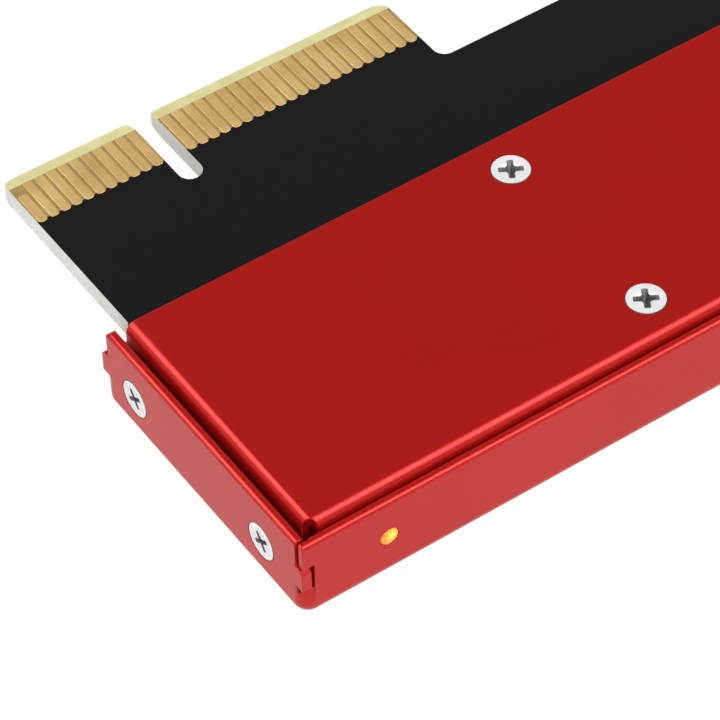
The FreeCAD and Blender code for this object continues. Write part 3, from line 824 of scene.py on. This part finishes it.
# ---------------------------------------------------------------------- sub-assemblies
@dataclass
class FoldedCase:
    """The tray and the cover, folded from sheet and lacquered red."""

    finish: Material
    rounding: float = 0.15
    plain_share: float = 0.45
    seat_share: float = 0.0
    brim_depth: float = 0.30
    long_edge: float = 1.0
    seat_radius: float = 1.55
    seat_reach: float = 0.20
    segments: int = 3

    def build(self) -> None:
        """Build both folded sheets with softened edges."""
        self.fold("lower_tray", "case_tray", Slot.TRAY)
        self.fold("top_cover", "case_cover", Slot.COVER)

    def fold(self, node: str, name: str, slot: Slot) -> Object:
        """Build one folded sheet.

        Args:
            node: The CAD node that gives its shape.
            name: The new piece's name.
            slot: The record's slot.

        Returns:
            The piece.
        """
        high = box_mm(node)[1]
        cover_heads, end_heads = screw_heads(self.seat_radius)
        seats = cover_heads + end_heads

        def share(edge: BMEdge) -> float:
            """Return an edge's share: most on the tray's long brim, least at a screw's seat."""
            middle = (edge.verts[0].co + edge.verts[1].co) / 2
            if any((middle - seat).length < self.seat_radius + self.seat_reach for seat in seats):
                return self.seat_share
            near_top = all(vertex.co.z > high.z - self.brim_depth for vertex in edge.verts)
            on_brim = slot is Slot.TRAY and near_top and edge.calc_length() > self.long_edge
            return 1.0 if on_brim else self.plain_share

        # The first two seats give the two rows of screws. Planes there cross the tray's screw holes.
        rows = seats[:2] if slot is Slot.TRAY else []
        mesh = mesh_of_node(node, [(seat, Vector((0, 1, 0))) for seat in rows])
        mark_edges(mesh, share, SHARP_TURN)
        piece = finish_piece(mesh, name, [self.finish], slot, [node])
        round_edges(piece, self.rounding, self.segments)
        return piece


@dataclass
class EdgeBoard:
    """The circuit board: black mask, bare laminate at the connector with painted shade between the
    contacts, and gold contacts.
    """

    mask: Material
    laminate: Material
    laminate_edge: Material
    laminate_shade: Material
    gold: Material
    pitch: float = 1.0
    width: float = 0.76
    before_key: int = 11
    after_key: int = 21
    key_step: float = 3.0
    short_by: float = 1.0
    upper_short: tuple[int, ...] = (1,)
    lower_short: tuple[int, ...] = (17, 31)
    plating: float = 0.065
    foot_share: float = 0.35
    edge_round: float = 0.05
    edge_steps: int = 3
    end_round: float = 0.26
    tip_round: float = 0.16
    corner_steps: int = 4
    tip_setback: float = 0.08
    mask_overlap: float = 0.24
    flat_share: float = 0.85
    edge_soft: float = 0.05
    soft_segments: int = 2
    soft_turn: float = 50.0

    def build(self) -> None:
        """Build the board and both rows of contacts."""
        self.board()
        self.contacts(Side.UPPER, "edge_contacts_upper", "gold_fingers_upper", self.upper_short)
        self.contacts(Side.LOWER, "edge_contacts_lower", "gold_fingers_lower", self.lower_short)

    def board(self) -> Object:
        """Build the board with its mask ending at the contacts' inner ends.

        Returns:
            The piece.
        """
        mesh = mesh_of_node("circuit_board")
        mark_edges(mesh, lambda edge: 1.0, self.soft_turn)
        limit = box_mm("edge_contacts_upper")[0].y + self.mask_overlap
        case_rear = box_mm("lower_tray")[1].y
        tips = box_mm("edge_contacts_upper")[1].y - self.tip_setback
        for cut in (limit, case_rear, tips):
            divide(mesh, Vector((0, cut, 0)), Vector((0, 1, 0)))
        for face in mesh.faces:
            face.material_index = self.skin_of(face, limit, case_rear, tips).value
        materials = [self.mask, self.laminate, self.laminate_edge, self.laminate_shade]
        piece = finish_piece(mesh, "adapter_board", materials, Slot.BOARD, ["circuit_board"])
        round_edges(piece, self.edge_soft, self.soft_segments)
        return piece

    def skin_of(self, face: BMFace, limit: float, case_rear: float, tips: float) -> BoardSkin:
        """Tell what shows on one face of the board.

        Args:
            face: The face.
            limit: Where the mask ends.
            case_rear: Where the case ends.
            tips: Where the contacts end.

        Returns:
            The skin.
        """
        flat = abs(face.normal.z) > self.flat_share
        place = face.calc_center_median().y
        if place < case_rear or flat and place < limit:
            return BoardSkin.MASK
        if not flat:
            return BoardSkin.CUT
        # Flat laminate short of the contacts' tips gets the darker copy, painted shade between the
        # contacts.
        return BoardSkin.SHADED if place < tips else BoardSkin.LAMINATE

    def contact_outline(self, x: float, ends: tuple[float, float], inset: float,
                        height: float) -> list[Vector]:
        """Return one contact's outline, drawn in by a given amount.

        Args:
            x: The contact's centre.
            ends: Its inner end, and its outer end at the board's bevel.
            inset: How far the outline is drawn in.
            height: The outline's height.

        Returns:
            The outline's points.
        """
        half = self.width / 2 - inset
        inner, tip = self.end_round - inset / 2, self.tip_round - inset / 2
        low, high = ends[0] + inset + inner, ends[1] - inset - tip
        points = []
        for side, first, radius, y in ((1, 0, tip, high), (-1, 90, tip, high),
                                       (-1, 180, inner, low), (1, 270, inner, low)):
            centre = Vector((x + side * (half - radius), y, height))
            for step in range(self.corner_steps + 1):
                angle = math.radians(first + 90 * step / self.corner_steps)
                points.append(centre + radius * Vector((math.cos(angle), math.sin(angle), 0)))
        return points

    def contacts(self, side: Side, node: str, name: str, short: tuple[int, ...]) -> Object:
        """Build one face's row of rounded, slightly raised contacts.

        Args:
            side: The board's face.
            node: The CAD node that gives its place.
            name: The new piece's name.
            short: The numbers of the shorter contacts.

        Returns:
            The piece.
        """
        low, high = box_mm(node)
        ground = low.z if side is Side.UPPER else high.z
        rise = self.plating * side.value
        mesh = bmesh.new()
        for index in range(self.before_key + self.after_key):
            extra = self.key_step - self.pitch if index >= self.before_key else 0.0
            x = low.x + self.width / 2 + index * self.pitch + extra
            outer = high.y - self.tip_setback - (self.short_by if index + 1 in short else 0.0)
            rings = [self.contact_outline(x, (low.y, outer), 0.0, ground)]
            for step in range(self.edge_steps + 1):
                angle = math.radians(90 * step / self.edge_steps)
                inset = self.edge_round * (1 - math.cos(angle))
                height = ground + rise * (self.foot_share + (1 - self.foot_share) * math.sin(angle))
                rings.append(self.contact_outline(x, (low.y, outer), inset, height))
            add_rings(mesh, rings)
        return finish_piece(mesh, name, [self.gold], Slot.GOLD, [node])


@dataclass(frozen=True)
class Recess:
    """A cross recess's turn in degrees and its sizes at the head's top."""

    turn: float
    reach: float
    width: float
    flare: float


@dataclass(frozen=True)
class RecessStep:
    """A depth in a cross recess, and the shares of its sizes that are left there."""

    depth: float
    reach_share: float
    width_share: float


@dataclass
class FlushScrews:
    """Flush-head screws with a cross recess, pale plated, with painted shade in the recess and a painted
    shadow ring at the head's edge.
    """

    plating: Material
    # A darker grey than the plating: painted shade in the cross recess and a painted shadow ring at the
    # head's edge.
    recess: Material
    seat_radius: float = 1.55
    head_radius: float = 1.51
    rim: float = 0.06
    rim_drop: float = 0.01
    shoulder_inset: float = 0.01
    shoulder_drop: float = 0.03
    shaded_ring: int = 2
    shank_radius: float = 0.80
    tip_chamfer: float = 0.15
    edge_round: float = 0.07
    cover_recess: Recess = Recess(turn=-30.0, reach=0.95, width=0.50, flare=0.15)
    end_recess: Recess = Recess(turn=34.0, reach=0.84, width=0.36, flare=0.06)
    recess_steps: tuple[RecessStep, ...] = (
        RecessStep(depth=0.0, reach_share=1.0, width_share=1.0),
        RecessStep(depth=0.06, reach_share=0.93, width_share=0.86),
        RecessStep(depth=0.45, reach_share=0.62, width_share=0.7),
        RecessStep(depth=0.75, reach_share=0.34, width_share=0.5),
    )
    arm_chamfer: float = 0.06
    arm_tip_share: float = 0.7
    sides: int = 48

    def build(self) -> None:
        """Build the cover's screws and the end screws, flush with their sheets."""
        cover_heads, end_heads = screw_heads(self.seat_radius)
        top = box_mm("top_cover")[1].z
        for head in cover_heads:
            head.z = top
        self.batch("cover_screws", "cover_screw_set", cover_heads, Vector((0, 0, 1)),
                   top - box_mm("cover_screws")[0].z, self.cover_recess)
        face = box_mm("lower_tray")[0].x
        for head in end_heads:
            head.x = face
        self.batch("end_screws", "end_screw_set", end_heads, Vector((-1, 0, 0)),
                   box_mm("end_screws")[1].x - face, self.end_recess)

    def batch(self, node: str, name: str, heads: list[Vector], outward: Vector, length: float,
              cross: Recess) -> Object:
        """Build the screws of one CAD node.

        Args:
            node: The CAD node.
            name: The new piece's name.
            heads: The centres of the heads' tops.
            outward: The direction that the heads face.
            length: The screws' length.
            cross: The recess in their heads.

        Returns:
            The piece.
        """
        mesh = bmesh.new()
        for head in heads:
            self.one(mesh, axis_frame(head, outward, cross.turn), length, cross)
        return finish_piece(mesh, name, [self.plating, self.recess], Slot.SCREW, [node])

    def cross(self, reach: float, width: float, flare: float, height: float) -> list[Vector]:
        """Return the outline of the cross at one depth.

        Args:
            reach: The arms' reach from the centre.
            width: The arms' width.
            flare: The chamfer between neighbouring arms.
            height: The outline's height.

        Returns:
            The outline's points.
        """
        half, tip = width / 2, width / 2 * self.arm_tip_share
        shoulder = reach - self.arm_chamfer
        arm = [(half + flare, -half), (shoulder, -half), (reach, -tip),
               (reach, tip), (shoulder, half), (half + flare, half)]
        points = []
        for quarter in range(4):
            spin = Matrix.Rotation(math.radians(90 * quarter), 3, "Z")
            points += [spin @ Vector((x, y, height)) for x, y in arm]
        return points

    def one(self, mesh: BMesh, frame: Matrix, length: float, cross: Recess) -> None:
        """Add one screw.

        Args:
            mesh: The mesh to add to.
            frame: Local +Z on the head's outward side, at the head's top.
            length: The screw's length.
            cross: The recess in its head.
        """
        rim_radius = self.head_radius - self.rim
        profile = (
            (rim_radius - self.edge_round, 0.0),
            (rim_radius, -self.rim_drop),
            (self.head_radius - self.shoulder_inset, -self.shoulder_drop),
            (self.head_radius, -self.edge_round),
            (self.shank_radius, self.shank_radius - self.head_radius),
            (self.shank_radius, self.tip_chamfer - length),
            (self.shank_radius - self.tip_chamfer, -length),
        )
        rings = turned_rings(profile, self.sides, lambda x, y, z: frame @ Vector((x, y, z)))
        skin = add_rings(mesh, rings, cap_first=False)
        # The faces around the shoulder ring take the darker grey, a painted shadow ring where the head
        # meets its seat.
        for vertex in skin[self.shaded_ring]:
            for face in vertex.link_faces:
                face.material_index = 1
        walls = []
        for step in self.recess_steps:
            shape = self.cross(cross.reach * step.reach_share, cross.width * step.width_share,
                               cross.flare * step.reach_share, -step.depth)
            walls.append([frame @ point for point in shape])
        # The recess's walls take the darker grey, painted shade.
        recess = add_rings(mesh, walls, cap_first=False, material=1)
        rim = self.loop_edges(skin[0]) + self.loop_edges(recess[0])
        bmesh.ops.triangle_fill(mesh, use_beauty=True, use_dissolve=False, edges=rim)

    @staticmethod
    def loop_edges(ring: list[BMVert]) -> list[BMEdge]:
        """Find the edges that join a ring's vertices.

        Args:
            ring: The vertices in order.

        Returns:
            The edges in order.
        """
        edges = []
        for index, vertex in enumerate(ring):
            after = ring[(index + 1) % len(ring)]
            edges += [edge for edge in vertex.link_edges if edge.other_vert(vertex) is after]
        return edges


@dataclass
class Indicator:
    """The light pipe's domed end in the front wall, lit amber."""

    groups: Groups
    radius: float = 0.72
    tip_radius: float = 0.06
    dome: float = 0.16
    dome_steps: int = 6
    collar_radius: float = 1.10
    collar: float = 0.40
    collar_from_face: float = 0.90
    glow_offset: Vector = field(default_factory=lambda: Vector((0.20, 0.0, 0.16)))
    glow_spread: float = 1.25
    sides: int = 40

    def build(self) -> Object:
        """Build the light pipe along Y with a domed outer end.

        Returns:
            The piece.
        """
        low, high = box_mm("light_pipe")
        centre = Vector(((low.x + high.x) / 2, low.y, (low.z + high.z) / 2))
        lens = LitLens(centre + self.glow_offset, self.radius * self.glow_spread).build(self.groups)
        profile = [(self.tip_radius, 0.0)]
        for step in range(1, self.dome_steps + 1):
            angle = math.radians(90 * step / self.dome_steps)
            profile.append((self.radius * math.sin(angle), self.dome * (1 - math.cos(angle))))
        collar_end = self.collar_from_face + self.collar
        profile += [(self.radius, self.collar_from_face), (self.collar_radius, self.collar_from_face),
                    (self.collar_radius, collar_end), (self.radius, collar_end),
                    (self.radius, high.y - low.y)]
        mesh = bmesh.new()
        add_rings(mesh, turned_rings(profile, self.sides, lambda x, z, y: centre + Vector((x, y, z))))
        return finish_piece(mesh, "indicator_lens", [lens], Slot.PIPE, ["light_pipe"])


@dataclass
class CarriedNodes:
    """CAD nodes whose shape is kept, each with its own finish."""

    finishes: dict[str, Material]

    def build(self) -> None:
        """Dress every node that no new piece stands for."""
        for node, material in self.finishes.items():
            data = bpy.data.objects[node].data
            data.materials.clear()
            data.materials.append(material)
            log.info("%s: dressed with %s", node, material.name)


# ---------------------------------------------------------------------- studio
@dataclass
class Lamp:
    """One soft rectangular lamp aimed at the card."""

    name: str
    direction: Vector
    distance: float
    width: float
    height: float
    power: float

    def build(self, aim: Vector) -> None:
        """Place the lamp.

        Args:
            aim: The point that it faces.
        """
        data = bpy.data.lights.new(self.name, "AREA")
        data.shape = "RECTANGLE"
        data.size, data.size_y = self.width, self.height
        data.energy = self.power
        lamp = bpy.data.objects.new(self.name, data)
        bpy.context.scene.collection.objects.link(lamp)
        away = self.direction.normalized()
        lamp.location = aim + away * self.distance
        lamp.rotation_euler = away.to_track_quat("Z", "Y").to_euler()


@dataclass
class Studio:
    """White floor, pale surroundings, soft lamps and the camera; the floor is in metres."""

    floor_half: float = 3.0
    floor_gap: float = 0.00001
    floor_tone: float = 0.86
    floor_glow: float = 0.95
    horizon: float = 0.10
    ceiling: float = 0.60
    ceiling_light: float = 0.10
    aim_along: float = 0.75
    lens: float = 181.12
    near_clip: float = 0.02
    far_clip: float = 20.0
    camera_place: Vector = field(default_factory=lambda: Vector((-147.727, -142.053, 193.442)))
    heading: float = -34.05005
    dip: float = 47.45811
    roll: float = -1.17392

    def build(self) -> None:
        """Build the floor, world, lamps and camera."""
        low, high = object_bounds()
        aim = Vector((low.x * self.aim_along, 0.0, high.z))
        self.floor(low.z)
        self.world()
        for lamp in (
            Lamp("front_fold_softbox", Vector((0.34, -0.50, 0.80)), distance=0.9,
                 width=0.55, height=0.40, power=6.3),
            Lamp("left_fold_softbox", Vector((-0.48, 0.50, 0.66)), distance=0.9,
                 width=0.45, height=0.40, power=5.0),
            Lamp("near_fill", Vector((-0.45, -0.75, 0.60)), distance=1.0,
                 width=0.7, height=0.5, power=3.4),
        ):
            lamp.build(aim)
        self.camera()

    def floor(self, level: float) -> None:
        """Build the white floor.

        Args:
            level: The height of the card's underside.
        """
        mesh = bmesh.new()
        bmesh.ops.create_grid(mesh, x_segments=2, y_segments=2, size=self.floor_half)
        data = bpy.data.meshes.new("studio_floor")
        mesh.to_mesh(data)
        mesh.free()
        floor = bpy.data.objects.new("studio_floor", data)
        floor.location.z = level - self.floor_gap
        bpy.context.scene.collection.objects.link(floor)
        data.materials.append(self.floor_material())
        floor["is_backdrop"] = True

    def floor_material(self) -> Material:
        """Build the floor's white, plain to the camera and to reflections but for the shadow.

        Returns:
            The material.
        """
        maker = MaterialMaker("white_sweep")
        tone = (self.floor_tone, self.floor_tone, self.floor_tone, 1.0)
        maker.constants(Base_Color=tone, Roughness=0.9, Specular_IOR_Level=0.1)
        glow = maker.node("Emission")
        rays = maker.node("LightPath")
        share = maker.node("Math", operation="MULTIPLY")
        share.inputs[1].default_value = self.floor_glow
        mix = maker.node("MixShader")
        either = rays.outputs["Is Camera Ray"]
        for kind in ("Is Glossy Ray", "Is Transmission Ray"):
            greater = maker.node("Math", operation="MAXIMUM")
            maker.wire(either, greater.inputs[0])
            maker.wire(rays.outputs[kind], greater.inputs[1])
            either = greater.outputs[0]
        maker.wire(either, share.inputs[0])
        maker.wire(share.outputs[0], mix.inputs[0])
        maker.wire(maker.shader.outputs[0], mix.inputs[1])
        maker.wire(glow.outputs[0], mix.inputs[2])
        maker.wire(mix.outputs[0], maker.tree.nodes["Material Output"].inputs["Surface"])
        return maker.material

    def world(self) -> None:
        """Light the card from a white horizon under a dim ceiling, the same to every ray."""
        world = bpy.data.worlds.new("studio_world")
        world.use_nodes = True
        bpy.context.scene.world = world
        maker = TreeMaker(world.node_tree)
        place = maker.node("TexCoord")
        split = maker.node("SeparateXYZ")
        ramp = maker.node("ValToRGB")
        dim = self.ceiling_light
        stops = ramp.color_ramp.elements
        stops[0].position, stops[0].color = self.horizon, (1.0, 1.0, 1.0, 1.0)
        stops[1].position, stops[1].color = self.ceiling, (dim, dim, dim, 1.0)
        maker.wire(place.outputs["Generated"], split.inputs[0])
        maker.wire(split.outputs["Z"], ramp.inputs[0])
        maker.wire(ramp.outputs[0], maker.tree.nodes["Background"].inputs["Color"])

    def camera(self) -> None:
        """Place the camera above the card's near corner, looking along it to the connector."""
        data = bpy.data.cameras.new("card_camera")
        data.lens = self.lens
        data.clip_start = self.near_clip
        data.clip_end = self.far_clip
        camera = bpy.data.objects.new("card_camera", data)
        bpy.context.scene.collection.objects.link(camera)
        camera.location = self.camera_place * MILLIMETRE
        turn = Matrix.Rotation(math.radians(self.heading), 4, "Z")
        tip = Matrix.Rotation(math.radians(90 - self.dip), 4, "X")
        roll = Matrix.Rotation(math.radians(self.roll), 4, "Z")
        camera.rotation_euler = (turn @ tip @ roll).to_euler()
        bpy.context.scene.camera = camera
        bpy.context.scene.view_settings.view_transform = "Standard"


# ---------------------------------------------------------------------- the whole card
def carried_finishes(groups: Groups) -> dict[str, Material]:
    """Return the finish of every CAD node that keeps its own shape.

    Args:
        groups: The shared node groups.

    Returns:
        Materials by node name.
    """
    brass = Metal("yellow_brass", (205, 170, 105), (180, 142, 80), low=0.25, high=0.4)
    steel = Metal("zinc_steel", (190, 192, 196), (160, 162, 168), low=0.25, high=0.4)
    tin = Metal("dull_tin", (205, 205, 205), (175, 175, 178), low=0.3, high=0.5)
    gilt = Metal("thin_gilt", (224, 184, 110), (205, 160, 84), low=0.2, high=0.35)
    diode = Moulding("milky_diode", (235, 232, 220), (220, 215, 200), low=0.3, high=0.45)
    socket = Moulding("socket_nylon", (34, 34, 36), (26, 26, 28), low=0.45, high=0.6)
    pad = Moulding("grey_heat_pad", (150, 156, 165), (132, 138, 148), low=0.8, high=0.95)
    film = Moulding("black_film", (30, 30, 32), (22, 22, 24), low=0.3, high=0.45)
    tan = Moulding("tan_ceramic", (178, 140, 104), (160, 120, 86), low=0.45, high=0.6)
    black = Moulding("black_ceramic", (38, 38, 40), (28, 28, 30), low=0.3, high=0.5)
    package = Moulding("moulded_epoxy", (44, 44, 46), (34, 34, 36), low=0.55, high=0.7)
    ferrite = Moulding("grey_ferrite", (96, 96, 98), (78, 78, 80), low=0.6, high=0.8)
    nodes = {
        brass: ("board_standoffs", "drive_nut"),
        steel: ("drive_screw",),
        tin: ("indicator_terminals", "socket_tails", "socket_anchors", "lane_capacitor_ends",
              "small_capacitor_ends", "resistor_ends", "bulk_capacitor_ends", "regulator_leads",
              "memory_leads", "buffer_pads", "inductor_ends"),
        gilt: ("socket_contacts_upper", "socket_contacts_lower"),
        diode: ("indicator_body",),
        socket: ("socket_housing",),
        pad: ("heat_pad",),
        film: ("floor_film", "cover_film"),
        tan: ("lane_capacitors", "small_capacitors", "bulk_capacitors"),
        black: ("resistors",),
        package: ("regulator_body", "memory_body", "buffer_body"),
        ferrite: ("inductor_body",),
    }
    finishes = {}
    for finish, names in nodes.items():
        finishes.update(dict.fromkeys(names, finish.build(groups)))
    return finishes


def main() -> None:
    """Load the frame, build every sub-assembly, then the studio."""
    logging.basicConfig(level=logging.INFO, format="%(name)s: %(message)s")
    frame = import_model()
    log.info("frame holds %d nodes", len(frame["nodes"]))
    groups = Groups()
    cut = Laminate("cut_laminate", (205, 204, 199), (193, 191, 185))
    # A darker copy of the laminate: painted shade between the contacts.
    shaded = Laminate("laminate_shade", (158, 134, 80), (138, 112, 62))
    gold = Metal("contact_gold", (216, 184, 122), (190, 152, 92),
                 low=0.28, high=0.4, metallic=0.3)
    plating = Metal("pale_screw_plating", (226, 223, 224), (217, 215, 217),
                    low=0.35, high=0.5, metallic=0.2)
    # The darker grey paints the shade in the recesses and the shadow ring around the heads.
    recess = Metal("shaded_recess", (118, 119, 117), (78, 78, 76),
                   low=0.4, high=0.6, metallic=0.5)
    FoldedCase(SatinLacquer().build(groups)).build()
    EdgeBoard(
        mask=SolderMask().build(groups),
        laminate=Laminate().build(groups),
        laminate_edge=cut.build(groups),
        laminate_shade=shaded.build(groups),
        gold=gold.build(groups),
    ).build()
    FlushScrews(plating=plating.build(groups), recess=recess.build(groups)).build()
    Indicator(groups).build()
    CarriedNodes(carried_finishes(groups)).build()
    Studio().build()


if __name__ == "__main__":
    main()
